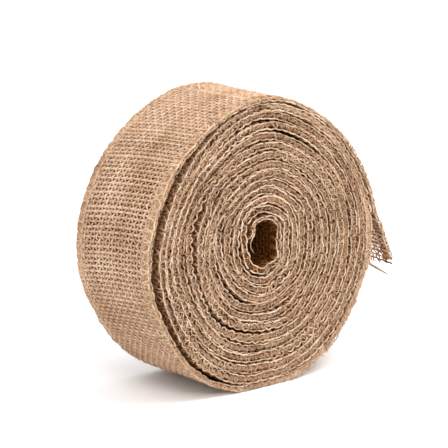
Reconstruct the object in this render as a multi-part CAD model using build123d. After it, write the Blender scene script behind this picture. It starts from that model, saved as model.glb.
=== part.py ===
"""Coreless roll of woven jute ribbon, standing on its rim, with a free frayed end.

Frame: the winding axis is parallel to Y, the front face looks along -Y, +Z is up and +X is to the
right of someone who faces the front. The origin is in the middle of the flat that the roll stands
on, straight under the winding axis. Units are millimetres.

The ribbon starts at the open core, on the left, and winds outwards clockwise (left, top, right,
bottom). Its last turn ends on the right, where the free end peels away. The ribbon is one woven web
with a three-thread overlock seam along each edge. Web and threads are cut at three bend lines,
because the free end is the part of the ribbon that moves: outer flap, tail and tail tip.
"""

import os
from math import cos, degrees, hypot, radians, sin

from build123d import *

# Ribbon
RIBBON_WIDTH = 50.0
RIBBON_THICKNESS = 2.0
WARP_PITCH = 2.1
YARN_RADIUS = 0.45

# Overlock seam, measured inwards from the ribbon's edge
THREAD_WRAP = 0.5
LOOPER_WIDTH = 4.6
NEEDLE_WIDTH = 0.6
SQUEEZED_THICKNESS = 1.1
INNER_SEAM_HEIGHT = 1.6

# Winding: half sizes of the open core and of the whole roll, seen from the winding axis
TURNS_BY_SIDE = {"left": 13, "top": 13, "right": 13, "bottom": 12}
CORE_HALF = {"left": 7.2, "top": 10.4, "right": 7.4, "bottom": 10.6}
ROLL_HALF = {"left": 62.0, "top": 62.1, "right": 64.0, "bottom": 62.8}
SIDES = ("left", "top", "right", "bottom")
QUARTERS = 54
LOOSENESS = 0.24
LOOSENESS_PER_TURN = 2.2
LOOSENESS_PER_SIDE = 0.5
RADIUS_SLACK = 0.15

# Flat under the last turn, where the roll sags onto the surface
FLAT_CORNER_RADIUS = 12.0
FLAT_CORNER_ANGLE = 14.0
FLAT_QUARTER = 50

# Free end: bend lines by the angle of the ribbon's outward normal, and lengths along the ribbon
FLAP_BEND_ANGLE = 75.0
TAIL_BEND_ANGLE = 11.0
TAIL_LENGTH = 13.5
TIP_LENGTH = 19.5
TAIL_RADIUS = 42.0
TIP_RADIUS = 84.0
FLAP_GAP = 0.25
TAIL_GAP = 0.55
TIP_GAP = 0.75

# Loose yarns
END_CLEARANCE = 0.02
FRAY_SHORT = 1.6
FRAY_LONG = 4.2
INNER_FRAY_SHORT = 0.8
INNER_FRAY_LONG = 2.0
LOOSE_YARN_RADIUS = 0.3
LOOSE_YARN_PLACE = -8.0
LOOSE_YARN_LIFT = 0.8
LOOSE_YARN_DROP = 6.0
LOOSE_YARN_REACH = (4.2, -6.8, -4.2)
LOOSE_YARN_BEND = 1.8
STRAY_YARN_RADIUS = 0.25
STRAY_YARN_CLEARANCE = 1.1
STRAY_YARN_FROM = 128.0
STRAY_YARN_SWEEP = 92.0
STRAY_YARN_DEPTH = 2.5

HALF_WIDTH = RIBBON_WIDTH / 2
HALF_THICKNESS = RIBBON_THICKNESS / 2
HALF_SQUEEZED = SQUEEZED_THICKNESS / 2
AXIS_HEIGHT = ROLL_HALF["bottom"]


class Arc:
    """Stretch of the ribbon's mid-line bent about (x, z), between two directions of its normal.

    side is 1 where the ribbon's outer face looks away from the centre, and -1 where it looks at it.
    """

    def __init__(self, x, z, radius, start, end, side=1):
        self.x = x
        self.z = z
        self.radius = radius
        self.start = start
        self.end = end
        self.side = side

    def point(self, normal, offset=0.0):
        reach = self.side * self.radius + offset
        return (self.x + reach * cos(radians(normal)), self.z + reach * sin(radians(normal)))

    def edge(self, offset):
        turned = 0.0 if self.side > 0 else 180.0
        reach = self.radius + self.side * offset
        return CenterArc((self.x, self.z), reach, self.start + turned, self.end - self.start)

    def ends(self, offset):
        return self.point(self.start, offset), self.point(self.end, offset)

    def length(self):
        return self.radius * abs(radians(self.end - self.start))


class Run:
    """Straight stretch of the ribbon's mid-line, with one direction of its outward normal."""

    def __init__(self, start, end, normal):
        self.start = start
        self.end = end
        self.normal = normal

    def moved(self, point, offset):
        return (point[0] + offset * cos(radians(self.normal)), point[1] + offset * sin(radians(self.normal)))

    def edge(self, offset):
        return Line(*self.ends(offset))

    def ends(self, offset):
        return self.moved(self.start, offset), self.moved(self.end, offset)

    def length(self):
        return hypot(self.end[0] - self.start[0], self.end[1] - self.start[1])


def looseness(turn, side):
    """How much wider than average the gap outside this turn is on this side."""
    turns = TURNS_BY_SIDE[side]
    return 1 + LOOSENESS * cos(LOOSENESS_PER_TURN * (turns - turn) + LOOSENESS_PER_SIDE * SIDES.index(side))


def extent(quarter):
    """Distance from the winding axis to the ribbon's mid-line after this many quarter turns."""
    side = SIDES[quarter % 4]
    turn = quarter // 4
    turns = TURNS_BY_SIDE[side]
    inner = CORE_HALF[side] + HALF_THICKNESS
    outer = ROLL_HALF[side] - HALF_THICKNESS
    whole = sum(looseness(i + 1, side) for i in range(turns))
    wound = sum(looseness(i + 1, side) for i in range(turn))
    return inner + (outer - inner) * wound / whole


def quarter_radius(quarter):
    """Bend radius of the quarter turn that ends at the given extent, a little under the smaller one."""
    return min(extent(quarter - 1), extent(quarter)) - RADIUS_SLACK


def quarter_centre(quarter):
    """Centre of the bend that leads from one extent to the next."""
    radius = quarter_radius(quarter)
    before = extent(quarter - 1) - radius
    after = extent(quarter) - radius
    return {
        "top": (-before, AXIS_HEIGHT + after),
        "right": (after, AXIS_HEIGHT + before),
        "bottom": (before, AXIS_HEIGHT - after),
        "left": (-after, AXIS_HEIGHT - before),
    }[SIDES[quarter % 4]]


def round_quarters(first, last):
    """Quarter turns first to last, each one arc, joined by short straight runs."""
    stretches = []
    for quarter in range(first, last + 1):
        x, z = quarter_centre(quarter)
        start = 180.0 - 90.0 * ((quarter - 1) % 4)
        stretches.append(Arc(x, z, quarter_radius(quarter), start, start - 90.0))
    return stretches


def flat_quarters():
    """The two quarter turns of the last turn that sag onto the surface, each with a tighter corner."""
    drop = HALF_THICKNESS
    corner = FLAT_CORNER_RADIUS
    angle = radians(FLAT_CORNER_ANGLE)
    stretches = []
    for quarter, towards in ((FLAT_QUARTER + 1, 1), (FLAT_QUARTER + 2, -1)):
        radius = quarter_radius(quarter)
        side = extent(quarter - 1 if towards > 0 else quarter)
        x = towards * (side - radius)
        z = drop + corner + (radius - corner) * cos(angle)
        corner_x = x + towards * (radius - corner) * sin(angle)
        wide = Arc(x, z, radius, 0.0, -90.0 + FLAT_CORNER_ANGLE)
        tight = Arc(corner_x, drop + corner, corner, -90.0 + FLAT_CORNER_ANGLE, -90.0)
        if towards < 0:
            wide = Arc(x, z, radius, -90.0 - FLAT_CORNER_ANGLE, -180.0)
            tight = Arc(corner_x, drop + corner, corner, -90.0, -90.0 - FLAT_CORNER_ANGLE)
        stretches += [wide, tight] if towards > 0 else [tight, wide]
    return stretches


def joined(stretches):
    """The same stretches with the straight runs that join them."""
    path = [stretches[0]]
    for before, after in zip(stretches, stretches[1:]):
        start = before.ends(0.0)[1]
        end = after.ends(0.0)[0]
        if hypot(end[0] - start[0], end[1] - start[1]) > 0.01:
            path.append(Run(start, end, before.end))
        path.append(after)
    return path


def shortened(arc, at_start, at_end):
    """The same arc with a length taken off each end."""
    turn = 1 if arc.end > arc.start else -1
    start = arc.start + turn * degrees(at_start / arc.radius)
    end = arc.end - turn * degrees(at_end / arc.radius)
    return Arc(arc.x, arc.z, arc.radius, start, end, arc.side)


def ribbon_sections():
    """Mid-line of each section of the ribbon, from the core to the frayed end."""
    quarters = round_quarters(1, FLAT_QUARTER) + flat_quarters() + round_quarters(FLAT_QUARTER + 3, QUARTERS)
    last = quarters.pop()
    coil_end = Arc(last.x, last.z, last.radius, last.start, FLAP_BEND_ANGLE)
    flap = Arc(last.x, last.z, last.radius, FLAP_BEND_ANGLE, TAIL_BEND_ANGLE)
    peel_x, peel_z = flap.point(TAIL_BEND_ANGLE)
    tail_x = peel_x + TAIL_RADIUS * cos(radians(TAIL_BEND_ANGLE))
    tail_z = peel_z + TAIL_RADIUS * sin(radians(TAIL_BEND_ANGLE))
    tip_angle = TAIL_BEND_ANGLE + degrees(TAIL_LENGTH / TAIL_RADIUS)
    tail = Arc(tail_x, tail_z, TAIL_RADIUS, TAIL_BEND_ANGLE, tip_angle, -1)
    fold_x, fold_z = tail.point(tip_angle)
    tip_x = fold_x - TIP_RADIUS * cos(radians(tip_angle))
    tip_z = fold_z - TIP_RADIUS * sin(radians(tip_angle))
    end_angle = tip_angle - degrees(TIP_LENGTH / TIP_RADIUS)
    tip = Arc(tip_x, tip_z, TIP_RADIUS, tip_angle, end_angle)
    return {
        "coil": joined(quarters + [coil_end]),
        "flap": [shortened(flap, FLAP_GAP, 0.0)],
        "tail": [shortened(tail, TAIL_GAP, 0.0)],
        "tip": [shortened(tip, TIP_GAP, 0.0)],
    }


def band(section, inner, outer, low_y, high_y):
    """Solid strip that follows a section, between two offsets and two places across the ribbon."""
    outside = [stretch.edge(outer) for stretch in section]
    inside = [stretch.edge(inner) for stretch in section]
    start_cap = Line(section[0].ends(inner)[0], section[0].ends(outer)[0])
    end_cap = Line(section[-1].ends(inner)[1], section[-1].ends(outer)[1])
    outline = Wire(outside + inside + [start_cap, end_cap])
    profile = Plane.XZ * Face(outline)
    if profile.normal_at().Y > 0:
        profile = -profile
    return Pos(0, high_y, 0) * extrude(profile, high_y - low_y)


def web(section):
    """The woven cloth: full thickness in the middle, squeezed under both seams."""
    seam_inner = HALF_WIDTH - LOOPER_WIDTH - NEEDLE_WIDTH
    cloth_edge = HALF_WIDTH - THREAD_WRAP
    solid = band(section, -HALF_THICKNESS, HALF_THICKNESS, -seam_inner, seam_inner)
    solid += band(section, -HALF_SQUEEZED, HALF_SQUEEZED, -cloth_edge, -seam_inner)
    solid += band(section, -HALF_SQUEEZED, HALF_SQUEEZED, seam_inner, cloth_edge)
    return solid


def across(towards, near, far):
    """Two places across the ribbon, given inwards from the front (-1) or rear (1) edge, low one first."""
    places = (towards * (HALF_WIDTH - near), towards * (HALF_WIDTH - far))
    return min(places), max(places)


def needle_thread(section, towards):
    """Straight row of stitches at the seam's inner side: one line on each face of the web."""
    low_y, high_y = across(towards, LOOPER_WIDTH, LOOPER_WIDTH + NEEDLE_WIDTH)
    outer_row = band(section, HALF_SQUEEZED, HALF_THICKNESS, low_y, high_y)
    inner_row = band(section, -HALF_THICKNESS, -HALF_SQUEEZED, low_y, high_y)
    return Compound(children=[outer_row, inner_row])


def looper_thread(section, towards, face):
    """Thread that covers one face of the seam and wraps half of the ribbon's edge.

    On the inner face, the winding pushes the thread together, so that it stands higher.
    """
    height = HALF_THICKNESS if face > 0 else INNER_SEAM_HEIGHT
    low_y, high_y = across(towards, THREAD_WRAP, LOOPER_WIDTH)
    offsets = sorted((face * HALF_SQUEEZED, face * height))
    cover = band(section, offsets[0], offsets[1], low_y, high_y)
    low_y, high_y = across(towards, 0.0, THREAD_WRAP)
    offsets = sorted((0.0, face * height))
    return cover + band(section, offsets[0], offsets[1], low_y, high_y)


def yarn_stub(start, heading, y, length, lean):
    """Short straight yarn that leaves a cut end, leaning a few degrees sideways."""
    direction = Vector(heading[0] * cos(lean), sin(lean), heading[1] * cos(lean))
    clear = YARN_RADIUS * abs(sin(lean)) + END_CLEARANCE
    plane = Plane(origin=(start[0] + clear * heading[0], y, start[1] + clear * heading[1]), z_dir=direction)
    return plane * Cylinder(YARN_RADIUS, length, align=(Align.CENTER, Align.CENTER, Align.MIN))


def fray(start, heading, short, long, spread):
    """Warp ends that stand out of a cut end of the web, as a group of separate yarns."""
    seam_inner = HALF_WIDTH - LOOPER_WIDTH - NEEDLE_WIDTH
    count = int(2 * (seam_inner - YARN_RADIUS) / WARP_PITCH) + 1
    yarns = []
    for i in range(count):
        y = (i - (count - 1) / 2) * WARP_PITCH
        length = short + (long - short) * (0.5 + 0.5 * sin(2.4 * i))
        lean = radians(spread) * sin(1.7 * i + 0.6)
        yarns.append(yarn_stub(start, heading, y, length, lean))
    return Compound(children=yarns)


def loose_warp_yarn(start, heading):
    """Pulled yarn that hangs from the frayed end, then turns forwards and away from the roll."""
    x, z = start
    first = Vector(x + END_CLEARANCE * heading[0], LOOSE_YARN_PLACE, z + END_CLEARANCE * heading[1])
    bend = first + LOOSE_YARN_DROP * Vector(heading[0], 0, heading[1])
    path = FilletPolyline(first, bend, bend + Vector(*LOOSE_YARN_REACH), radius=LOOSE_YARN_BEND)
    profile = Plane(origin=path @ 0, z_dir=path % 0) * Circle(LOOSE_YARN_RADIUS)
    return sweep(profile, path=path)


def core_stray_yarn():
    """Pulled yarn that lies in a curve just inside the open core, near the front face."""
    reach = CORE_HALF["left"] - STRAY_YARN_CLEARANCE - STRAY_YARN_RADIUS
    curve = Plane.XZ * CenterArc((0, 0), reach, STRAY_YARN_FROM, STRAY_YARN_SWEEP)
    path = Pos(0, -HALF_WIDTH + STRAY_YARN_DEPTH, AXIS_HEIGHT) * curve
    profile = Plane(origin=path @ 0, z_dir=path % 0) * Circle(STRAY_YARN_RADIUS)
    return sweep(profile, path=path)


def heading_at(stretch, at_end):
    """Direction of winding at one end of a stretch, pointing outwards along the ribbon."""
    normal = radians(stretch.end if at_end else stretch.start)
    return (sin(normal), -cos(normal))


def write(name, shape):
    shape.label = name
    export_step(shape, f"parts/{name}.step")


def main():
    os.makedirs("parts", exist_ok=True)
    sections = ribbon_sections()
    for section_name, section in sections.items():
        write(f"web_{section_name}", web(section))
        for edge_name, towards in (("front", -1), ("rear", 1)):
            write(f"{edge_name}_needle_thread_{section_name}", needle_thread(section, towards))
            write(f"{edge_name}_upper_looper_{section_name}", looper_thread(section, towards, 1))
            write(f"{edge_name}_lower_looper_{section_name}", looper_thread(section, towards, -1))
    tip = sections["tip"][-1]
    tip_heading = heading_at(tip, at_end=True)
    write("frayed_tail_ends", fray(tip.point(tip.end), tip_heading, FRAY_SHORT, FRAY_LONG, 12.0))
    write("loose_warp_yarn", loose_warp_yarn(tip.point(tip.end, LOOSE_YARN_LIFT), tip_heading))
    start = sections["coil"][0]
    start_heading = heading_at(start, at_end=False)
    backwards = (-start_heading[0], -start_heading[1])
    inner_fray = fray(start.point(start.start), backwards, INNER_FRAY_SHORT, INNER_FRAY_LONG, 8.0)
    write("frayed_core_ends", inner_fray)
    write("core_stray_yarn", core_stray_yarn())
    for section_name, section in sections.items():
        print(section_name, "length", round(sum(stretch.length() for stretch in section), 1))


main()
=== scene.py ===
import math

import bpy
import numpy as np
from mathutils import Matrix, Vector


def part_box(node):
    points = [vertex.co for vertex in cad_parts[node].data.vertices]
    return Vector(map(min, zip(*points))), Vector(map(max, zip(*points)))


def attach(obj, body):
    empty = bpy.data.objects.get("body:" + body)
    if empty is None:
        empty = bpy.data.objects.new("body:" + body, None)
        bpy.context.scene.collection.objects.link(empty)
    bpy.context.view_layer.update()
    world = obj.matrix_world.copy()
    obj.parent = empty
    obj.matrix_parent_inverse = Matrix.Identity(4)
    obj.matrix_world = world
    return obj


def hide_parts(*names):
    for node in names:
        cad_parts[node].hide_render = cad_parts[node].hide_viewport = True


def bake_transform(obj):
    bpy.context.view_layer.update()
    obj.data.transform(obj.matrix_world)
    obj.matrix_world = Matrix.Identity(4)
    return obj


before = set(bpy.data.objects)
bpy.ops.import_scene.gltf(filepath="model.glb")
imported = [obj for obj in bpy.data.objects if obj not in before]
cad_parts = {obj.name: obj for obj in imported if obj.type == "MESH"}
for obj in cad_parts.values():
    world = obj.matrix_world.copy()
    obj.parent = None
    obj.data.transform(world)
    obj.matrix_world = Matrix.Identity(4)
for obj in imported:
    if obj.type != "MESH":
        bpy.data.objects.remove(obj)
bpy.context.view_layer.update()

# ----------------------------------------------------------------------------------------------
# Sizes. Lengths are in millimetres in this script, and MM turns them into metres at the end.
# ----------------------------------------------------------------------------------------------
MM = 0.001
FULL_TURN = 2 * math.pi

# Ribbon and weave
HALF_WIDTH = 25.0
HALF_THICKNESS = 1.0
WARPS = 23
WARP_PITCH = 2.1
WEFT_PITCH = 2.09
WEFT_SKEW = -0.12
WARP_RISE = 0.52
WEFT_RISE = 0.2
WARP_HALF = (0.34, 0.49)
WEFT_HALF = (0.38, 0.54)
CLOTH_EDGE = HALF_WIDTH - 0.25

# Overlock seam, and how many fibres wrap its edge at each stitch
SEAM_DEPTH = 4.9
SEAM_FADE = 1.2
STITCH_PITCH = 2 * WEFT_PITCH
THREAD_HALF = 0.31
WRAPS_PER_STITCH = 4.4

# Winding: half sizes of the core and the roll from the winding axis. All of it is as in the part's
# source but for the looseness, which is lower here, so that the turns inside are spaced more evenly.
SIDES = ("left", "top", "right", "bottom")
TURNS_BY_SIDE = {"left": 13, "top": 13, "right": 13, "bottom": 12}
CORE_HALF = {"left": 7.2, "top": 10.4, "right": 7.4, "bottom": 10.6}
ROLL_HALF = {"left": 62.0, "top": 62.1, "right": 64.0, "bottom": 62.8}
QUARTERS = 54
LOOSENESS = 0.08
LOOSENESS_PER_TURN = 2.2
LOOSENESS_PER_SIDE = 0.5
RADIUS_SLACK = 0.15
FLAT_CORNER_RADIUS = 12.0
FLAT_CORNER_ANGLE = 14.0
FLAT_QUARTER = 50
FLAP_BEND_ANGLE = 75.0
TAIL_BEND_ANGLE = 11.0
TAIL_LENGTH = 13.5
TIP_LENGTH = 19.5
TAIL_RADIUS = 42.0
TIP_RADIUS = 84.0
AXIS_HEIGHT = ROLL_HALF["bottom"]

# Where the turns under the outermost one have pulled away from it, and by how much
SLACK_ANGLE = 162.0
SLACK_GAP = 2.4
LAST_FREE_TURN = 12.75

# Over how many turns the slack above the flat is taken up, and the distance between turns elsewhere
SAG_TURNS = 6.0
USUAL_PITCH = 4.0

# How far the turns under the flap swell towards it
SWELL = 0.9

# Number of turns from the core to where the outermost turn begins, on the right
OUTERMOST_TURN = 12.47

# Unevenness of the cloth: how far its edges lean in and out and ripple, how far its face ripples, and
# how far the turns slide sideways, on the wound turns and, by how much less, on the last one
EDGE_LEAN = 0.75
EDGE_RIPPLE = 0.24
FACE_RIPPLE = 0.06
SIDEWAYS_DRIFT = 1.6
LAST_TURN_DRIFT_LOSS = 1.0
LAST_TURN_LEAN_LOSS = 0.75

# How far the wound roll stands out of round, in steps of 30 degrees from the right, over the top
OUT_OF_ROUND = np.array([0.9, -2.6, -2.8, 0.4, -1.2, -0.2, 1.2, -1.3, -0.2, -0.2, 0.9, 2.2])

# How far the rear edge is drawn in towards the turns below it
REAR_DRAWN_IN = 1.1

# How far each piece at a bend line reaches before and after it
FLAP_REACH = (4.0, 13.0)
TAIL_REACH = (3.0, 5.0)


# ----------------------------------------------------------------------------------------------
# The ribbon's mid-line
# ----------------------------------------------------------------------------------------------
def looseness(turn, side):
    turns = TURNS_BY_SIDE[side]
    return 1 + LOOSENESS * math.cos(
        LOOSENESS_PER_TURN * (turns - turn) + LOOSENESS_PER_SIDE * SIDES.index(side))


def extent(quarter):
    """Distance from the winding axis to the mid-line after this many quarter turns."""
    side = SIDES[quarter % 4]
    inner = CORE_HALF[side] + HALF_THICKNESS
    outer = ROLL_HALF[side] - HALF_THICKNESS
    whole = sum(looseness(i + 1, side) for i in range(TURNS_BY_SIDE[side]))
    wound = sum(looseness(i + 1, side) for i in range(quarter // 4))
    return inner + (outer - inner) * wound / whole


def bend_radius(quarter):
    return min(extent(quarter - 1), extent(quarter)) - RADIUS_SLACK


def flat_bend(quarter, side_extent):
    """Centre of the wide bend of a quarter beside the flat: along X from the axis, and its height."""
    radius = bend_radius(quarter)
    angle = math.radians(FLAT_CORNER_ANGLE)
    height = HALF_THICKNESS + FLAT_CORNER_RADIUS + (radius - FLAT_CORNER_RADIUS) * math.cos(angle)
    return side_extent - radius, height


def stretches():
    """(length, turn in degrees) of each stretch of the mid-line, from the core to the cut end."""
    found = []
    before, after = FLAT_QUARTER + 1, FLAT_QUARTER + 2
    out_x, out_z = flat_bend(before, extent(before - 1))
    back_x, back_z = flat_bend(after, extent(after))
    corner = math.radians(FLAT_CORNER_ANGLE)
    tight = (FLAT_CORNER_RADIUS * corner, -FLAT_CORNER_ANGLE)
    for quarter in range(1, QUARTERS + 1):
        radius = bend_radius(quarter)
        if quarter == before:
            run = AXIS_HEIGHT + extent(quarter - 2) - bend_radius(quarter - 1) - out_z
        elif quarter == after:
            run = out_x + back_x
            run += (bend_radius(before) + radius - 2 * FLAT_CORNER_RADIUS) * math.sin(corner)
        elif quarter == after + 1:
            run = AXIS_HEIGHT + extent(quarter) - radius - back_z
        elif quarter > 1:
            run = extent(quarter - 2) + extent(quarter) - bend_radius(quarter - 1) - radius
        else:
            run = 0.0
        found.append((run, 0.0))
        turn = -90.0 + (TAIL_BEND_ANGLE if quarter == QUARTERS else 0.0)
        if quarter in (before, after):
            turn += FLAT_CORNER_ANGLE
        if quarter == after:
            found.append(tight)
        found.append((radius * math.radians(-turn), turn))
        if quarter == before:
            found.append(tight)
    found.append((TAIL_LENGTH, math.degrees(TAIL_LENGTH / TAIL_RADIUS)))
    found.append((TIP_LENGTH, -math.degrees(TIP_LENGTH / TIP_RADIUS)))
    return found


def smooth_steps(count, spread):
    """Weights of a soft average over that many steps."""
    steps = np.arange(-count, count + 1)
    weights = np.exp(-0.5 * (steps / spread) ** 2)
    return weights / weights.sum()


class MidLine:
    """The mid-line as a table by length along the ribbon, from the core's cut end."""

    STEP = 0.1
    SOFT = 15

    def __init__(self):
        parts = np.array(stretches())
        length = np.concatenate([[0.0], np.cumsum(parts[:, 0])])
        angle = np.concatenate([[180.0], 180.0 + np.cumsum(parts[:, 1])])
        self.end = length[-1]
        self.tip_bend = self.end - TIP_LENGTH
        self.tail_bend = self.tip_bend - TAIL_LENGTH
        last_arc = math.radians(FLAP_BEND_ANGLE - TAIL_BEND_ANGLE) * bend_radius(QUARTERS)
        self.flap_bend = self.tail_bend - last_arc
        count = int(round(self.end / self.STEP)) + 1
        self.s = np.linspace(0.0, self.end, count)
        theta = np.radians(np.interp(self.s, length, angle))
        padded = np.pad(theta, 4 * self.SOFT, mode="reflect", reflect_type="odd")
        theta = np.convolve(padded, smooth_steps(4 * self.SOFT, self.SOFT), mode="valid")
        step = self.s[1] - self.s[0]
        middle = 0.5 * (theta[1:] + theta[:-1])
        first = (-extent(0), AXIS_HEIGHT + extent(1) - bend_radius(1))
        self.x = first[0] + np.concatenate([[0.0], np.cumsum(np.sin(middle)) * step])
        self.z = first[1] - np.concatenate([[0.0], np.cumsum(np.cos(middle)) * step])
        self.theta = theta
        self.find_sag()

    def find_sag(self):
        """How much wider than a turn's usual pitch the space above the flat is, by direction."""
        reach = self.x * np.cos(self.theta) + (self.z - AXIS_HEIGHT) * np.sin(self.theta)
        turned = self.theta[0] - self.theta
        angle = np.radians(np.arange(185.0, 356.0))
        outer, inner = (np.interp(FULL_TURN * turn + math.pi + FULL_TURN - angle, turned, reach)
                        for turn in (12, 11))
        extra = np.maximum(outer - inner - USUAL_PITCH, 0.0) * (SAG_TURNS - 1) / SAG_TURNS
        self.sag_angle = angle
        self.sag_depth = np.convolve(extra, smooth_steps(8, 3), mode="same")

    def at(self, s):
        x = np.interp(s, self.s, self.x)
        z = np.interp(s, self.s, self.z)
        return x, z, np.interp(s, self.s, self.theta)


line = MidLine()

# The length where the turns in the core end, whose darkness is painted shade, the length of the outer turn
# up to the flap, where it begins, and how far past that its seams are still bunched up
CORE_TURN = 90.0
OUTER_TURN = 398.0
OUTER_START = line.flap_bend - OUTER_TURN
BUNCHED_OUTER = 235.0


# ----------------------------------------------------------------------------------------------
# Unevenness, the same on every run
# ----------------------------------------------------------------------------------------------
def wave(values, length, seed):
    """Smooth random wave between about -1 and 1, with features about that long."""
    rng = np.random.default_rng(seed)
    values = np.asarray(values, float) / length
    low = math.floor(values.min()) - 1
    knots = rng.uniform(-1.0, 1.0, math.ceil(values.max()) - low + 3)
    cell = np.floor(values).astype(int)
    t = values - cell
    t = t * t * (3 - 2 * t)
    return knots[cell - low] * (1 - t) + knots[cell - low + 1] * t


def ripple_field(turn, angle, seed):
    """Smooth random field between about -1 and 1 over turn number and angle, without a seam at 360
    degrees. Neighbouring turns get similar values, so that they shift together."""
    rng = np.random.default_rng(seed)
    cells = 11
    table = rng.uniform(-1.0, 1.0, (16, cells))
    u = np.clip(turn / 1.15, 0.0, 14.0)
    v = np.mod(angle / FULL_TURN, 1.0) * cells
    i, j = np.floor(u).astype(int), np.floor(v).astype(int)
    a, b = u - i, v - j
    a, b = a * a * (3 - 2 * a), b * b * (3 - 2 * b)
    left, right = j % cells, (j + 1) % cells
    inner = table[i, left] * (1 - b) + table[i, right] * b
    outer = table[i + 1, left] * (1 - b) + table[i + 1, right] * b
    return inner * (1 - a) + outer * a


def slack(turn, angle, y):
    """1 where the turns under the outermost one have pulled away from it, on the upper left front."""
    side = np.cos(angle - math.radians(SLACK_ANGLE))
    under = np.clip((turn - LAST_FREE_TURN + 4.0) / 4.0, 0.0, 1.0) * (turn < LAST_FREE_TURN)
    fade = np.clip((LAST_FREE_TURN - turn) / 0.12, 0.0, 1.0)
    at_front = np.clip((8.0 - y) / 24.0, 0.0, 1.0)
    return np.clip((side - 0.42) / 0.5, 0.0, 1.0) ** 1.3 * under * fade * at_front


def sag(line, turn, angle):
    """How far the turns above the flat sink towards it, less and less from turn to turn."""
    window = np.clip((-np.sin(angle) - 0.25) / 0.4, 0.0, 1.0)
    share = np.clip((turn - OUTERMOST_TURN + SAG_TURNS) / SAG_TURNS, 0.0, 1.0) * (turn < OUTERMOST_TURN)
    return window * share * np.interp(np.mod(angle, FULL_TURN), line.sag_angle, line.sag_depth)


def swell(turn, angle):
    """1 where the turns under the flap press up against it, on the upper right."""
    window = np.clip(1.5 * np.cos(angle - math.radians(60.0)), 0.0, 1.0)
    share = np.clip((turn - 8.0) / 4.0, 0.0, 1.0) * np.clip((OUTERMOST_TURN - turn) / 0.12, 0.0, 1.0)
    return window * share


def out_of_round(line, s):
    """Shift in X and Z that presses the roll out of round, less and less towards the core."""
    _, _, angle = line.at(np.minimum(s, line.tail_bend))
    turn = (line.theta[0] - angle) / FULL_TURN
    count = len(OUT_OF_ROUND)
    v = np.mod(angle / FULL_TURN, 1.0) * count
    i = np.floor(v).astype(int)
    t = v - i
    a, b, c, d = (OUT_OF_ROUND[(i + k) % count] for k in (-1, 0, 1, 2))
    out = b + 0.5 * t * (c - a + t * (2 * a - 5 * b + 4 * c - d + t * (3 * (b - c) + d - a)))
    out = out * np.clip(turn / 13.4, 0.0, 1.0) ** 1.5
    return out * np.cos(angle), out * np.sin(angle)


def place(line, s, y, n):
    """Points at a length along the ribbon, a place across it and a height off its mid surface, and the
    direction off the surface there. The ribbon's small unevenness is added here, so that every yarn
    and thread follows it."""
    s, y, n = np.broadcast_arrays(np.asarray(s, float), y, n)
    inside = np.clip(s, 0.0, line.end)
    x, z, theta = line.at(inside)
    shift_x, shift_z = out_of_round(line, inside)
    past = s - inside
    turn = (line.theta[0] - theta) / FULL_TURN
    edge = np.clip((np.abs(y) - 12.0) / 13.0, 0.0, 1.0) ** 1.5
    front = y < 0
    lean = np.where(front, ripple_field(turn, theta, 11), ripple_field(turn, theta, 12))
    ripple = np.where(front, wave(s, 6.0, 13), wave(s, 6.5, 14))
    last = np.clip((s - (line.flap_bend - 300.0)) / 60.0, 0.0, 1.0)
    free = np.clip(turn / 5.0, 0.1, 1.0) * (1 - LAST_TURN_LEAN_LOSS * last)
    height = n + edge * (EDGE_LEAN * lean + EDGE_RIPPLE * ripple) * free + FACE_RIPPLE * wave(s, 23.0, 15)
    rear = np.clip((y - 17.0) / 8.0, 0.0, 1.0)
    height = height - REAR_DRAWN_IN * rear ** 2 * np.clip(turn / 6.0, 0.0, 1.0)
    height = height - SLACK_GAP * slack(turn, theta, y)
    height = height + sag(line, turn, theta) + SWELL * swell(turn, theta)
    drift = (SIDEWAYS_DRIFT - LAST_TURN_DRIFT_LOSS * last) * ripple_field(turn, theta, 16)
    drift = drift + 0.3 * wave(s, 31.0, 17)
    y_edge = np.where(front, wave(s, 8.0, 18), wave(s, 9.0, 19))
    across = y + drift + edge * 0.3 * y_edge
    points = np.stack([
        x + shift_x + height * np.cos(theta) + past * np.sin(theta),
        across,
        z + shift_z + height * np.sin(theta) - past * np.cos(theta)], -1)
    up = np.stack([np.cos(theta), np.zeros_like(theta), np.sin(theta)], -1)
    return points, up


# ----------------------------------------------------------------------------------------------
# Meshes
# ----------------------------------------------------------------------------------------------
TWIST_PITCH = 5.5


def unit(v):
    return v / np.maximum(np.linalg.norm(v, axis=-1, keepdims=True), 1e-12)


def mesh_object(name, points, loops, sizes, layers):
    """A mesh from flat arrays: points in millimetres, the corners of each face one after another."""
    mesh = bpy.data.meshes.new(name)
    mesh.vertices.add(len(points))
    mesh.vertices.foreach_set("co", (points * MM).astype(np.float32).ravel())
    mesh.loops.add(len(loops))
    mesh.loops.foreach_set("vertex_index", loops.astype(np.int32))
    mesh.polygons.add(len(sizes))
    starts = np.concatenate([[0], np.cumsum(sizes)[:-1]])
    mesh.polygons.foreach_set("loop_start", starts.astype(np.int32))
    mesh.polygons.foreach_set("use_smooth", np.ones(len(sizes), bool))
    mesh.update(calc_edges=True)
    for layer, (kind, values) in layers.items():
        attribute = mesh.attributes.new(layer, kind, "POINT")
        field = "vector" if kind == "FLOAT_VECTOR" else "value"
        attribute.data.foreach_set(field, values.astype(np.float32).ravel())
    piece = bpy.data.objects.new(name, mesh)
    bpy.context.scene.collection.objects.link(piece)
    return piece


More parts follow.
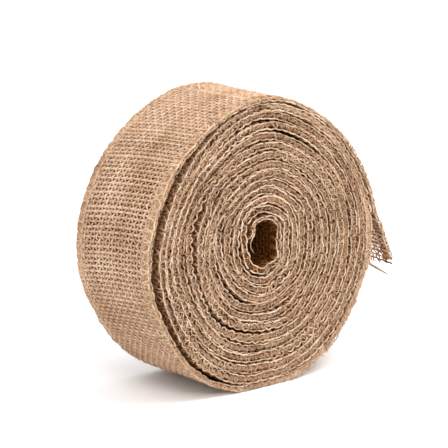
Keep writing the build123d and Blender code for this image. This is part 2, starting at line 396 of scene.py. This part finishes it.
class Bundle:
    """Yarns and threads gathered into one piece."""

    def __init__(self):
        self.points = []
        self.loops = []
        self.sizes = []
        self.local = []
        self.tone = []
        self.count = 0

    def add(self, centres, up, half_height, half_width, sides=6, tone=0.0, start=0.0):
        """Closed tubes along centres, an array of lines by points by three. The section is an ellipse.
        tone is one value, or one for each line, or one for each point of each line."""
        lines, steps = centres.shape[:2]
        along = unit(np.gradient(centres, axis=1))
        beside = unit(np.cross(along, np.broadcast_to(up, centres.shape)))
        above = np.cross(beside, along)
        run = np.linalg.norm(np.diff(centres, axis=1), axis=-1)
        run = np.concatenate([np.zeros((lines, 1)), np.cumsum(run, axis=1)], axis=1)
        run = run + np.reshape(np.broadcast_to(start, (lines,)), (lines, 1))
        angle = np.arange(sides) * (FULL_TURN / sides)
        tall = np.broadcast_to(half_height, (lines, steps))[..., None, None]
        wide = np.broadcast_to(half_width, (lines, steps))[..., None, None]
        ring = (centres[:, :, None, :]
                + tall * np.cos(angle)[:, None] * above[:, :, None, :]
                + wide * np.sin(angle)[:, None] * beside[:, :, None, :])
        spun = angle[None, None, :] + run[..., None] * (FULL_TURN / TWIST_PITCH)
        local = np.stack([np.broadcast_to(run[..., None], spun.shape), np.cos(spun), np.sin(spun)], -1)
        index = np.arange(lines * steps * sides).reshape(lines, steps, sides) + self.count
        after = np.roll(index, -1, axis=2)
        quads = np.stack([index[:, :-1], after[:, :-1], after[:, 1:], index[:, 1:]], -1)
        first = index[:, 0, ::-1]
        last = index[:, -1, :]
        self.points.append(ring.reshape(-1, 3))
        self.local.append(local.reshape(-1, 3))
        tone = np.reshape(tone, np.shape(tone) + (1,) * (3 - np.ndim(tone)))
        self.tone.append(np.broadcast_to(tone, (lines, steps, sides)).reshape(-1))
        self.loops += [quads.reshape(-1), first.reshape(-1), last.reshape(-1)]
        self.sizes += [np.full(quads.size // 4, 4), np.full(lines, sides), np.full(lines, sides)]
        self.count += index.size

    def build(self, name, material, slot):
        layers = {"yarn": ("FLOAT_VECTOR", np.concatenate(self.local)),
                  "tone": ("FLOAT", np.concatenate(self.tone))}
        piece = mesh_object(name, np.concatenate(self.points), np.concatenate(self.loops),
                            np.concatenate(self.sizes), layers)
        piece.data.materials.append(material)
        return piece


# ----------------------------------------------------------------------------------------------
# Weave
# ----------------------------------------------------------------------------------------------
WARP_PLACES = (np.arange(WARPS) - (WARPS - 1) / 2) * WARP_PITCH


def warp_wander(warp, s):
    return 0.14 * wave(s, 13.0, 200 + warp) + 0.05 * wave(s, 4.0, 230 + warp)


def weft_wander(weft, y):
    skew = WEFT_SKEW * y + 0.5 * np.cos(y * 0.09)
    return skew + 0.16 * wave(y + 61.0 * weft, 15.0, 31) + 0.12 * wave(weft + 0.0 * y, 1.0, 32)


def in_seam(y):
    """1 under the seam, 0 in the open weave."""
    return np.clip((np.abs(y) - (HALF_WIDTH - SEAM_DEPTH - SEAM_FADE)) / SEAM_FADE, 0.0, 1.0)


def yarn_tone(seed, count):
    return np.random.default_rng(seed).normal(0.0, 1.0, count)


# More weft yarns than the ribbon has, so that each has its own tone and size
WEFT_ENTRIES = 1600
WARP_TONES = yarn_tone(41, WARPS)
WEFT_TONES = yarn_tone(42, WEFT_ENTRIES)
WEFT_SIZES = 1.0 + 0.11 * np.clip(yarn_tone(43, WEFT_ENTRIES), -1.5, 2.2)


def bunching(s):
    """1 where the cloth in the seam is bunched up by the winding, up to 1.4 below the core, where the
    turns are wider apart, and 0 at the core's cut end and past the bottom of the outer turn."""
    _, _, angle = line.at(s)
    below = np.clip((s / line.end - 0.15) / 0.3, 0.0, 1.0) * np.clip(-np.sin(angle) - 0.1, 0.0, 1.0)
    past_core = np.clip((s - 25.0) / 30.0, 0.0, 1.0)
    before_end = np.clip((OUTER_START + BUNCHED_OUTER - s) / 60.0, 0.0, 1.0)
    return (1 + 0.45 * below) * past_core * before_end


def away_from_edge(y):
    """0 at the edge of the cloth, 1 from a little way in."""
    return np.clip((CLOTH_EDGE - np.abs(y)) / 2.5, 0.0, 1.0)


def add_warps(bundle, line, warps, start, end, per_pitch, size=1.0, shade=0.0, painted_gap_shade=0.0):
    """Warp yarns that run along the ribbon between two lengths. They pass over and under the wefts.
    shade is added to their tone, and the last argument, a painted shade for the gaps between the turns, is
    added to it away from the edge of the cloth."""
    steps = max(2, int(round((end - start) / WEFT_PITCH * per_pitch)) + 1)
    s = np.linspace(start, end, steps)
    for warp in warps:
        y = WARP_PLACES[warp] + warp_wander(warp, s)
        phase = (s - WEFT_SKEW * y - 0.5 * np.cos(y * 0.09)) / WEFT_PITCH
        covered = in_seam(WARP_PLACES[warp])
        outermost = 1.0 if warp in (0, WARPS - 1) else 0.0
        bunched = bunching(s) * covered
        rise = WARP_RISE * (1 - 0.35 * covered) * np.cos(math.pi * (phase - 0.5)) * (-1) ** warp
        rise = rise * (1 + 0.5 * bunched) - 0.2 * bunched
        centres, up = place(line, s, y, rise)
        thick = size * (1.0 + 0.12 * wave(s, 9.0, 300 + warp) + 0.07 * wave(s, 2.5, 330 + warp))
        tone = shade + WARP_TONES[warp] * 0.4 + 0.6 * wave(s, 40.0, 360 + warp)
        # painted shade: darker away from the cloth's edge, down in the gaps between the turns
        tone = tone + (1.1 * bunched - 0.9) * covered + painted_gap_shade * away_from_edge(y)
        tall = 1 + 0.5 * covered + 1.2 * bunched
        wide = 1 + 1.25 * covered + 0.9 * outermost
        bundle.add(centres[None], up[None], WARP_HALF[0] * tall * thick[None],
                   WARP_HALF[1] * wide * thick[None], tone=tone[None], start=start)


def add_wefts(bundle, line, first, last, low, high, per_pitch, size=1.0, shade=0.0, painted_gap_shade=0.0):
    """Weft yarns number first up to last, between two places across the ribbon."""
    wefts = np.arange(first, last)
    steps = max(2, int(round((high - low) / WARP_PITCH * per_pitch)) + 1)
    y = np.linspace(low, high, steps)[None, :]
    number = wefts[:, None]
    s = (number + 0.5) * WEFT_PITCH + weft_wander(number, y)
    over = np.cos(math.pi * (y - WARP_PLACES[0]) / WARP_PITCH)
    n = -WEFT_RISE * over * (-1.0) ** number
    centres, up = place(line, s, np.broadcast_to(y, s.shape), n)
    slub = 1.0 + 0.15 * wave(y + 47.0 * number, 7.0, 51) + 0.07 * wave(y + 47.0 * number, 2.0, 52)
    slub = size * WEFT_SIZES[number] * slub
    tone = shade + WEFT_TONES[number] * 0.45 + 0.5 * wave(y + 83.0 * number, 20.0, 53)
    # painted shade: darker away from the cloth's edge, down in the gaps between the turns
    tone = tone + (1.3 * bunching(s) - 1.0) * in_seam(y) + painted_gap_shade * away_from_edge(y)
    bundle.add(centres, up, WEFT_HALF[0] * slub, WEFT_HALF[1] * slub, tone=tone)


# ----------------------------------------------------------------------------------------------
# Overlock seam. towards is -1 for the front edge and 1 for the rear edge.
# ----------------------------------------------------------------------------------------------
# One stitch of each thread: (share of the stitch, inwards from the edge, height off the mid surface)
NEEDLE_STITCH = (
    (0.00, 4.9, -0.6), (0.05, 4.9, 0.6), (0.14, 4.95, 0.8), (0.35, 5.0, 0.85), (0.60, 5.0, 0.85),
    (0.82, 4.95, 0.8), (0.90, 4.9, 0.5), (0.95, 4.9, -0.9))
UPPER_STITCH = (
    (0.00, 5.0, 0.75), (-0.19, 4.7, 0.85), (-0.12, 3.2, 0.9), (-0.01, 1.5, 0.9), (0.06, 0.5, 0.6),
    (0.13, 0.1, 0.1), (0.24, 0.05, 0.45), (0.40, 0.05, 0.85), (0.60, 0.05, 0.85), (0.76, 0.05, 0.45),
    (0.87, 0.1, 0.1), (0.94, 0.5, 0.6), (1.01, 1.5, 0.9), (1.12, 3.2, 0.9), (1.19, 4.7, 0.85))
LOWER_STITCH = (
    (0.00, 5.0, -0.9), (-0.17, 4.7, -1.0), (-0.10, 3.2, -1.1), (-0.01, 1.5, -1.15), (0.06, 0.5, -0.8),
    (0.13, 0.1, -0.2), (0.24, 0.05, -0.6), (0.40, 0.05, -1.15), (0.60, 0.05, -1.15), (0.76, 0.05, -0.6),
    (0.87, 0.1, -0.2), (0.94, 0.5, -0.8), (1.01, 1.5, -1.15), (1.10, 3.2, -1.1), (1.17, 4.7, -1.0))
NEEDLE_LEVEL, UPPER_LEVEL, LOWER_LEVEL = 1.0, 0.8, -1.05
NEEDLE_SIZE, NEEDLE_SHADE = 0.75, -0.8
LOWER_SLIP = 1.2


def thread(bundle, line, towards, start, end, stitch, level, slip, size, shade, seed):
    """One overlock thread between two lengths along the ribbon, stitch after stitch. level is the
    height that its run along the edge keeps where the stitches are drawn tight. slip lets its stitches
    run ahead of or behind those of the other threads."""
    first, last = int(round(start / STITCH_PITCH)), int(round(end / STITCH_PITCH))
    number = np.repeat(np.arange(first, last), len(stitch))
    share, inwards, height = (np.tile(column, last - first) for column in np.array(stitch).T)
    number = np.append(number, last)
    share, inwards, height = (np.append(column, column[0]) for column in (share, inwards, height))
    s = (number + share) * STITCH_PITCH
    at_edge = np.clip(1.0 - inwards / 2.5, 0.0, 1.0)
    slant = 1.4 * wave(number, 1.0, seed + 2) * (1 - at_edge) + 0.5 * wave(number, 1.0, seed + 9)
    bunched = bunching(s)
    swing = 1.7 * wave(s, 40.0, 23) - 0.8 + 0.4 * wave(number, 1.0, seed + 6)
    swing = 0.12 + 0.88 * np.clip(swing, 0.0, 1.0) * bunched
    height = height + (level - height) * at_edge * (1 - swing)
    raised = bunched * np.clip((OUTER_START + 110.0 - s) / 30.0, 0.0, 1.0)
    height = height * (0.75 + (0.75 * raised if level > 0 else 0.9 * bunched))
    height = height + 0.1 * wave(s, 2.1, seed + 1)
    height = height + at_edge * (0.3 - 0.06 * bunched) * wave(s, 2.6, seed + 10)
    wander = 0.25 * wave(s, 3.1, seed) - 0.25 * wave(number, 1.0, seed + 7)
    inwards = inwards + wander * (0.5 + 0.4 * at_edge)
    y = towards * (HALF_WIDTH - 0.4 * (1 - raised) * at_edge - inwards)
    centres, up = place(line, s + slant + slip * wave(s, 50.0, seed + 8), y, height)
    wound = s < OUTER_START
    # Painted shade: in the wound turns shade darkens the thread only away from the edge, down between the
    # turns
    tone = wave(s, 25.0, seed + 3) + 1.2 * wave(s, 2.2, seed + 4) + shade * (1 - at_edge * wound)
    # Painted light: the threads are lighter towards the core, for the lit edges round the core's opening
    tone = tone + 0.7 * np.clip(1.0 - s / 900.0, 0.0, 1.0)
    fat = size * THREAD_HALF * (1.0 + 0.38 * wave(s, 2.4, seed + 5))
    bundle.add(centres[None], up[None], fat[None], fat[None], sides=5, tone=tone[None], start=start)


def seam_threads(line, towards, start, end, shade):
    """The needle thread, upper looper and lower looper of one edge, each in its own bundle."""
    seed = 600 if towards < 0 else 700
    needle, upper, lower = Bundle(), Bundle(), Bundle()
    thread(needle, line, towards, start, end, NEEDLE_STITCH, NEEDLE_LEVEL, 0.0, NEEDLE_SIZE,
           shade + NEEDLE_SHADE, seed)
    thread(upper, line, towards, start, end, UPPER_STITCH, UPPER_LEVEL, 0.0, 1.0, shade, seed + 10)
    thread(lower, line, towards, start, end, LOWER_STITCH, LOWER_LEVEL, LOWER_SLIP, 1.0, shade, seed + 20)
    return {"needle_thread": needle, "upper_looper": upper, "lower_looper": lower}


# ----------------------------------------------------------------------------------------------
# Materials
# ----------------------------------------------------------------------------------------------
def fibre_material(name, dark, middle, light, roughness):
    """Spun fibre: tone by yarn, streaks that follow the twist, patches over the roll and fine relief."""
    material = bpy.data.materials.new(name)
    material.use_nodes = True
    nodes, links = material.node_tree.nodes, material.node_tree.links
    surface = nodes["Principled BSDF"]
    yarn = nodes.new("ShaderNodeAttribute")
    yarn.attribute_name = "yarn"
    tone = nodes.new("ShaderNodeAttribute")
    tone.attribute_name = "tone"
    where = nodes.new("ShaderNodeNewGeometry")

    def math_node(operation, a, b=None):
        node = nodes.new("ShaderNodeMath")
        node.operation = operation
        for socket, value in zip(node.inputs, (a, b)):
            if value is None:
                continue
            if isinstance(value, (int, float)):
                socket.default_value = value
            else:
                links.new(value, socket)
        return node.outputs[0]

    def noise(vector, scale, stretch, detail):
        shaped = nodes.new("ShaderNodeVectorMath")
        shaped.operation = "MULTIPLY"
        shaped.inputs[1].default_value = stretch
        links.new(vector, shaped.inputs[0])
        node = nodes.new("ShaderNodeTexNoise")
        node.inputs["Scale"].default_value = scale
        node.inputs["Detail"].default_value = detail
        links.new(shaped.outputs[0], node.inputs["Vector"])
        return node.outputs["Fac"]

    streaks = noise(yarn.outputs["Vector"], 1.0, (0.35, 2.2, 2.2), 3.0)
    specks = noise(yarn.outputs["Vector"], 1.0, (1.6, 1.4, 1.4), 2.0)
    patches = noise(where.outputs["Position"], 55.0, (1.0, 1.0, 1.0), 2.0)
    shade = math_node("MULTIPLY", tone.outputs["Fac"], 0.1)
    shade = math_node("ADD", shade, math_node("MULTIPLY", math_node("SUBTRACT", streaks, 0.5), 0.9))
    shade = math_node("ADD", shade, math_node("MULTIPLY", math_node("SUBTRACT", specks, 0.5), 0.5))
    shade = math_node("ADD", shade, math_node("MULTIPLY", math_node("SUBTRACT", patches, 0.5), 0.35))
    shade = math_node("ADD", shade, 0.5)
    ramp = nodes.new("ShaderNodeValToRGB")
    ramp.color_ramp.elements[0].position = 0.08
    ramp.color_ramp.elements[0].color = (*dark, 1)
    ramp.color_ramp.elements[1].position = 0.95
    ramp.color_ramp.elements[1].color = (*light, 1)
    centre = ramp.color_ramp.elements.new(0.5)
    centre.color = (*middle, 1)
    links.new(shade, ramp.inputs["Fac"])
    links.new(ramp.outputs["Color"], surface.inputs["Base Color"])
    surface.inputs["Roughness"].default_value = roughness
    surface.inputs["Specular IOR Level"].default_value = 0.04
    bump = nodes.new("ShaderNodeBump")
    bump.inputs["Strength"].default_value = 0.6
    bump.inputs["Distance"].default_value = 0.00012
    links.new(streaks, bump.inputs["Height"])
    links.new(bump.outputs["Normal"], surface.inputs["Normal"])
    return material


JUTE = fibre_material("jute_yarn", (0.14, 0.045, 0.008), (0.535, 0.345, 0.22), (0.86, 0.71, 0.575), 0.9)
THREAD = fibre_material(
    "overlock_thread", (0.23, 0.10, 0.035), (0.585, 0.41, 0.275), (0.80, 0.645, 0.50), 0.85)
LOOSE = fibre_material("loose_yarn", (0.22, 0.17, 0.12), (0.50, 0.42, 0.33), (0.82, 0.72, 0.60), 0.85)


# ----------------------------------------------------------------------------------------------
# The ribbon, section by section
# ----------------------------------------------------------------------------------------------
THREADS = ("needle_thread", "upper_looper", "lower_looper")

# How much darker than the outer turn's cloth each part is, and how thick its yarns are. The darkening of
# the core turn, the tail and tip and the inner turns is painted shade: the shade in the core, on the tail
# and tip, and between the wound turns. The wefts vary by a power of the warps' size, so the cloth is
# closer at the tail and more open at the tip.
WEFT_POWER = 4
THREAD_SHADE = -0.4
CORE_SHADE = -7.5
TAIL_SIZE, TAIL_SHADE = 1.05, -0.8
TIP_SIZE, TIP_SHADE = 0.95, -1.2
INNER_WARP_SHADE, INNER_WEFT_SHADE, INNER_DEPTH_SHADE = -1.0, -1.6, -2.0
INNER_THREAD_SHADE = -4.5


def weft_at(s):
    return int(round(s / WEFT_PITCH))


def make_section(name, start, end, hold, stands_for, size=1.0, shade=0.0):
    """Full weave and seams between two lengths. hold does what is done with each finished piece, and the
    CAD nodes that the section stands for, if any, are hidden."""
    warp, weft = Bundle(), Bundle()
    first, last = weft_at(start), weft_at(end)
    add_warps(warp, line, range(WARPS), start, end, 4, size, shade)
    add_wefts(weft, line, first, last, -CLOTH_EDGE, CLOTH_EDGE, 4, size ** WEFT_POWER, shade)
    made = {"web_warps": warp.build(f"warp_yarns_{name}", JUTE, "jute_web"),
            "web_wefts": weft.build(f"weft_yarns_{name}", JUTE, "jute_web")}
    for edge, towards in (("front", -1), ("rear", 1)):
        for kind, bundle in seam_threads(line, towards, start, end, shade + THREAD_SHADE).items():
            made[f"{edge}_{kind}"] = bundle.build(f"{edge}_{kind}_{name}", THREAD, "overlock_thread")
    for piece in made.values():
        hold(piece)
    if stands_for:
        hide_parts(f"web_{stands_for}")
        for edge in ("front", "rear"):
            for kind in THREADS:
                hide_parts(f"{edge}_{kind}_{stands_for}")


def rides(body):
    """What puts a piece on one body."""
    return lambda piece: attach(piece, body)


def bends():
    """What bakes a piece's placement into its mesh."""
    return lambda piece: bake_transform(piece)


# Each section at a bend line runs a little further than its reach
MARGIN = 2.0
flap_from = line.flap_bend - FLAP_REACH[0] - MARGIN
flap_to = line.flap_bend + FLAP_REACH[1] + MARGIN
tail_from = line.tail_bend - TAIL_REACH[0] - MARGIN
tail_to = 0.5 * (line.tail_bend + line.tip_bend)

outer_middle = 0.5 * (OUTER_START + flap_from)
make_section("outer_turn_left", outer_middle, flap_from, rides("coil"), None)
make_section("outer_turn_bottom", OUTER_START, outer_middle, rides("coil"), None)
make_section("flap_bend", flap_from, flap_to, bends(), None)
make_section("flap", flap_to, tail_from, rides("outer_flap"), "flap")
make_section("tail", tail_from, tail_to, bends(), "tail",
             TAIL_SIZE, TAIL_SHADE)
make_section("tip", tail_to, line.end, bends(), "tip",
             TIP_SIZE, TIP_SHADE)
make_section("core_turn", 0.0, CORE_TURN, rides("coil"), None, shade=CORE_SHADE)

# Inner turns: woven bands at both edges, and a plain strip of cloth between them, out of sight. The
# strip's dark tone is painted shade, seen through the gaps and holes.
BAND_DEPTH = 9.0
STRIP_STEP = 2.5
STRIP_HALF = (0.55, 19.0)
STRIP_PAINTED_SHADE = -3.5


def make_inner_turns():
    """The turns between the core turn and the outer turn, in two halves to keep each mesh small."""
    edges = {"front": (-1, -CLOTH_EDGE, -CLOTH_EDGE + BAND_DEPTH),
             "rear": (1, CLOTH_EDGE - BAND_DEPTH, CLOTH_EDGE)}
    middle = 0.55 * OUTER_START
    halves = ((CORE_TURN, middle), (middle, OUTER_START))
    for edge, (towards, low, high) in edges.items():
        warps = [k for k in range(WARPS) if low <= WARP_PLACES[k] <= high]
        for half, (start, end) in zip(("core", "middle"), halves):
            warp, weft = Bundle(), Bundle()
            # The bands' darker tone is painted shade for the wound turns, deeper away from the cloth's
            # edge.
            add_warps(warp, line, warps, start, end, 3, 1.0, INNER_WARP_SHADE, INNER_DEPTH_SHADE)
            add_wefts(weft, line, weft_at(start), weft_at(end), low, high, 3, 1.0,
                      INNER_WEFT_SHADE, INNER_DEPTH_SHADE)
            for kind, bundle in (("warp", warp), ("weft", weft)):
                piece = bundle.build(f"{edge}_{kind}_yarns_{half}_turns", JUTE, "jute_web")
                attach(piece, "coil")
        threads = seam_threads(line, towards, CORE_TURN, OUTER_START, INNER_THREAD_SHADE)
        for kind, bundle in threads.items():
            piece = bundle.build(f"{edge}_{kind}_inner_turns", THREAD, "overlock_thread")
            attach(piece, "coil")
            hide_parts(f"{edge}_{kind}_coil")
    base = Bundle()
    s = np.arange(CORE_TURN, OUTER_START, STRIP_STEP)
    centres, up = place(line, s, 0.0, 0.0)
    # the strip's dark tone is painted shade
    base.add(centres[None], up[None], *STRIP_HALF, sides=12, tone=np.full((1, len(s)), STRIP_PAINTED_SHADE))
    piece = base.build("web_inner_turns", JUTE, "jute_web")
    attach(piece, "coil")
    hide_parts("web_coil")


make_inner_turns()


# ----------------------------------------------------------------------------------------------
# Frayed ends, loose yarns and fuzz
# ----------------------------------------------------------------------------------------------
def strand(bundle, points, half, tone, sides=6):
    """One free yarn through these points, in millimetres, thinner at its far end."""
    points = np.asarray(points, float)
    knots = np.linspace(0.0, 1.0, len(points))
    steps = np.linspace(0.0, 1.0, 4 * len(points))
    curve = np.stack([np.interp(steps, knots, points[:, k]) for k in range(3)], -1)
    for _ in range(3):
        curve[1:-1] = 0.25 * curve[:-2] + 0.5 * curve[1:-1] + 0.25 * curve[2:]
    thin = half * np.clip(0.45 + 2.2 * (1 - steps), 0.0, 1.0)
    across = np.array([0.0, 1.0, 0.0])
    bundle.add(curve[None], across, thin[None], thin[None], sides=sides, tone=np.array([tone]))


def fray(direction, places, short, long, seed):
    """Warp ends that run on past a cut end of the cloth. direction is 1 at the tail and -1 in the core."""
    rng = np.random.default_rng(seed)
    bundle = Bundle()
    end = line.end if direction > 0 else 0.0
    for y in places:
        reach = rng.uniform(short, long)
        out = np.linspace(-0.6, reach, 6)
        spread = rng.normal(0.0, 0.12) * np.clip(out, 0, None)
        lift = rng.normal(0.0, 0.15) * np.clip(out, 0, None) + 0.1 * rng.normal(0.0, 1.0, 6)
        points, _ = place(line, end + direction * out, y + spread + 0.08 * rng.normal(0.0, 1.0, 6), lift)
        strand(bundle, points, 0.36, rng.normal(-0.8, 0.7))
        for _ in range(3):
            fine = points + rng.normal(0.0, 0.16, points.shape) * np.linspace(0.3, 2.0, 6)[:, None]
            strand(bundle, fine, 0.06, rng.normal(0.5, 0.7), sides=3)
    return bundle


tail_fray = fray(1, WARP_PLACES[1:-1], 1.8, 3.8, 71).build("frayed_warp_ends_tail", JUTE, "jute_web")
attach(tail_fray, "tail_tip")
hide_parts("frayed_tail_ends")
core_fray = fray(-1, WARP_PLACES[2:-2], 0.8, 2.0, 72).build("frayed_warp_ends_core", JUTE, "jute_web")
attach(core_fray, "coil")
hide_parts("frayed_core_ends")


def make_loose_warp_yarn():
    """The pulled yarn at the tail, from corner to corner of its CAD node's box."""
    low, high = (np.array(corner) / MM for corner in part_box("loose_warp_yarn"))
    root = np.array([low[0] + 0.3, high[1] - 0.3, high[2]])
    knee = root + [0.8, -0.1, -5.6]
    tip = np.array([high[0] - 0.2, low[1] + 0.2, low[2] + 0.2])
    bundle = Bundle()
    points = [root, 0.5 * (root + knee) + [0.1, 0, 0], knee,
              0.75 * knee + 0.25 * tip, 0.5 * (knee + tip), tip]
    strand(bundle, points, 0.6, -2.5)
    piece = bundle.build("loose_warp_yarn_visual", LOOSE, "loose_yarn")
    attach(piece, "tail_tip")
    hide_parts("loose_warp_yarn")


def make_core_stray_yarn():
    """The stray yarn that lies in a curve inside the core, over its CAD node."""
    low, high = (np.array(corner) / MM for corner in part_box("core_stray_yarn"))
    angles = np.radians(np.linspace(128.0, 220.0, 9))
    reach = -low[0] - 0.25
    points = np.stack([reach * np.cos(angles), np.full(9, 0.5 * (low[1] + high[1])),
                       AXIS_HEIGHT + reach * np.sin(angles)], -1)
    points += np.random.default_rng(73).normal(0.0, 0.12, points.shape)
    bundle = Bundle()
    strand(bundle, points, 0.2, -1.0)
    piece = bundle.build("core_stray_yarn_visual", LOOSE, "loose_yarn")
    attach(piece, "coil")
    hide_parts("core_stray_yarn")


def make_stray_fibre():
    """One long light fibre that lies on the outer turn, near the top."""
    t = np.linspace(0.0, 1.0, 7)
    s = line.flap_bend - 21.0 - 5.0 * t
    across = 15.0 - 6.5 * t + 0.5 * np.sin(5 * t)
    points, _ = place(line, s, across, 1.3 + 0.7 * np.sin(3 * t))
    bundle = Bundle()
    strand(bundle, points, 0.18, 6.0)
    piece = bundle.build("stray_fibre_top", THREAD, "jute_web")
    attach(piece, "coil")


FIBRE_HALF = 0.04
FACE_FIBRE_REACH = (1.5, 5.5)
EDGE_FIBRE_REACH = (0.8, 3.4)


def add_fibres(bundle, s, y, n, seed, reach):
    """Fine fibres that stand off the cloth and threads at these places."""
    rng = np.random.default_rng(seed)
    count, steps = len(s), 6
    t = np.linspace(0.0, 1.0, steps)[None, :]
    length = rng.uniform(*reach, (count, 1))
    heading = rng.uniform(0.0, FULL_TURN, (count, 1)) + rng.normal(0.0, 1.2, (count, 1)) * t
    along = np.cumsum(np.cos(heading) * length / steps, axis=1)
    across = np.cumsum(np.sin(heading) * length / steps, axis=1)
    rise = rng.uniform(-0.1, 0.7, (count, 1)) * np.sin(t * math.pi * rng.uniform(0.5, 1.1, (count, 1)))
    centres, up = place(line, s[:, None] + along, y[:, None] + across, n[:, None] + rise)
    thin = FIBRE_HALF * np.clip(2.5 * (1 - t), 0.25, 1.0) * np.ones((count, 1))
    bundle.add(centres, up, thin, thin, sides=3, tone=rng.normal(0.8, 0.8, count))


def add_edge_fibres(bundle, s, towards, seed):
    """Fibres and thin strands that wrap the edge of the ribbon from face to face, between the stitches."""
    rng = np.random.default_rng(seed)
    count, steps = len(s), 5
    t = np.linspace(-1.0, 1.0, steps)[None, :]
    slant = rng.normal(0.0, 0.9, (count, 1)) + rng.normal(0.0, 0.35, (count, steps))
    heights = 1 + 0.5 * bunching(s)[:, None]
    n = (0.95 * t - 0.1 + rng.normal(0.0, 0.12, (count, 1))) * heights
    out = 0.28 * (1 - t ** 2) - 0.1 * np.abs(t) + rng.normal(0.0, 0.06, (count, steps))
    centres, up = place(line, s[:, None] + slant * t, towards * (HALF_WIDTH + out), n)
    thin = rng.uniform(0.07, 0.17, (count, 1)) * np.clip(1.3 - np.abs(t), 0.4, 1.0)
    bundle.add(centres, up, thin, thin, sides=4, tone=rng.normal(-1.2, 1.3, count))


def fuzz(name, start, end, hold, on_face, on_edges, seed, edges=(-1, 1)):
    """Fuzz between two lengths: so many fibres on the outer face of the ribbon and on each edge, and
    the fibres that wrap the edge."""
    rng = np.random.default_rng(seed)
    bundle = Bundle()
    if on_face:
        add_fibres(bundle, rng.uniform(start, end, on_face), rng.uniform(-24.0, 24.0, on_face),
                   rng.uniform(0.5, 0.9, on_face), seed + 1, FACE_FIBRE_REACH)
    for towards in edges:
        add_fibres(bundle, rng.uniform(start, end, on_edges), towards * rng.uniform(23.6, 25.1, on_edges),
                   rng.uniform(-1.6, 1.3, on_edges), seed + 2 + towards, EDGE_FIBRE_REACH)
        wraps = int((end - start) / STITCH_PITCH * WRAPS_PER_STITCH)
        add_edge_fibres(bundle, rng.uniform(start + 1.0, end - 1.0, wraps), towards, seed + 5 + towards)
    hold(bundle.build(f"fuzz_{name}", THREAD, "jute_web"))


make_loose_warp_yarn()
make_core_stray_yarn()
make_stray_fibre()
fuzz("inner_turns_front", 0.0, OUTER_START, rides("coil"), 0, 6500, 81, (-1,))
fuzz("inner_turns_rear", 0.0, OUTER_START, rides("coil"), 0, 1600, 86, (1,))
fuzz("outer_turn", OUTER_START, flap_from, rides("coil"), 2200, 900, 91)
fuzz("flap", flap_to, tail_from, rides("outer_flap"), 260, 120, 101)

# ----------------------------------------------------------------------------------------------
# Camera, light and floor
# ----------------------------------------------------------------------------------------------
AZIMUTH, ELEVATION = math.radians(-40.0), math.radians(13.3)
DISTANCE = 1.2
FRAME_PIXELS = 448
PIXELS_PER_METRE = 2342.0
# How far the middle of the view lies from the winding axis, on the scale of PIXELS_PER_METRE
VIEW_LEFT, VIEW_UP = 3.0, 9.0
SENSOR_WIDTH = 36.0
LIGHT_DISTANCE = 1.3
FLOOR_HALF = 6e4


def direction(azimuth, elevation):
    """From the object towards a viewer at these angles. Azimuth 0 looks along +Y."""
    return np.array([math.sin(azimuth) * math.cos(elevation), -math.cos(azimuth) * math.cos(elevation),
                     math.sin(elevation)])


def aim(thing, place_at, target):
    """Put a camera or light at one place and turn it to face another."""
    back = unit(np.asarray(place_at) - np.asarray(target))
    right = unit(np.cross([0, 0, 1], back))
    above = np.cross(back, right)
    rows = np.eye(4)
    rows[:3, 0], rows[:3, 1], rows[:3, 2], rows[:3, 3] = right, above, back, place_at
    thing.matrix_world = Matrix(rows.tolist())


def make_camera():
    back = direction(AZIMUTH, ELEVATION)
    right = np.array([math.cos(AZIMUTH), math.sin(AZIMUTH), 0.0])
    above = np.cross(back, right)
    centre = np.array([0.0, 0.0, AXIS_HEIGHT * MM])
    target = centre - right * VIEW_LEFT / PIXELS_PER_METRE + above * VIEW_UP / PIXELS_PER_METRE
    data = bpy.data.cameras.new("camera")
    data.sensor_width = SENSOR_WIDTH
    data.lens = data.sensor_width * DISTANCE * PIXELS_PER_METRE / FRAME_PIXELS
    data.clip_end = 100.0
    camera = bpy.data.objects.new("camera", data)
    bpy.context.scene.collection.objects.link(camera)
    aim(camera, target + back * DISTANCE, target)
    bpy.context.scene.camera = camera


def area_light(name, azimuth, elevation, size, power):
    data = bpy.data.lights.new(name, "AREA")
    data.shape = "SQUARE"
    data.size = size
    data.energy = power
    light = bpy.data.objects.new(name, data)
    bpy.context.scene.collection.objects.link(light)
    target = np.array([0, 0, AXIS_HEIGHT * MM])
    towards = direction(math.radians(azimuth), math.radians(elevation))
    aim(light, target + towards * LIGHT_DISTANCE, target)


def make_stage():
    corners = FLOOR_HALF * np.array([[-1, -1, 0], [1, -1, 0], [1, 1, 0], [-1, 1, 0]])
    floor = mesh_object("floor", corners, np.arange(4), np.array([4]), {})
    material = bpy.data.materials.new("floor")
    material.use_nodes = True
    surface = material.node_tree.nodes["Principled BSDF"]
    surface.inputs["Base Color"].default_value = (0.95, 0.95, 0.95, 1)
    surface.inputs["Roughness"].default_value = 0.6
    surface.inputs["Specular IOR Level"].default_value = 0.1
    floor.data.materials.append(material)
    world = bpy.data.worlds.new("studio")
    world.use_nodes = True
    world.node_tree.nodes["Background"].inputs["Color"].default_value = (1.0, 1.0, 1.0, 1)
    world.node_tree.nodes["Background"].inputs["Strength"].default_value = 1.08
    bpy.context.scene.world = world
    area_light("key", 35.0, 66.0, 0.7, 12.0)
    area_light("left", -80.0, 60.0, 0.6, 2.6)
    area_light("front", -25.0, 34.0, 0.4, 4.2)
    bpy.context.scene.view_settings.view_transform = "Standard"


make_camera()
make_stage()
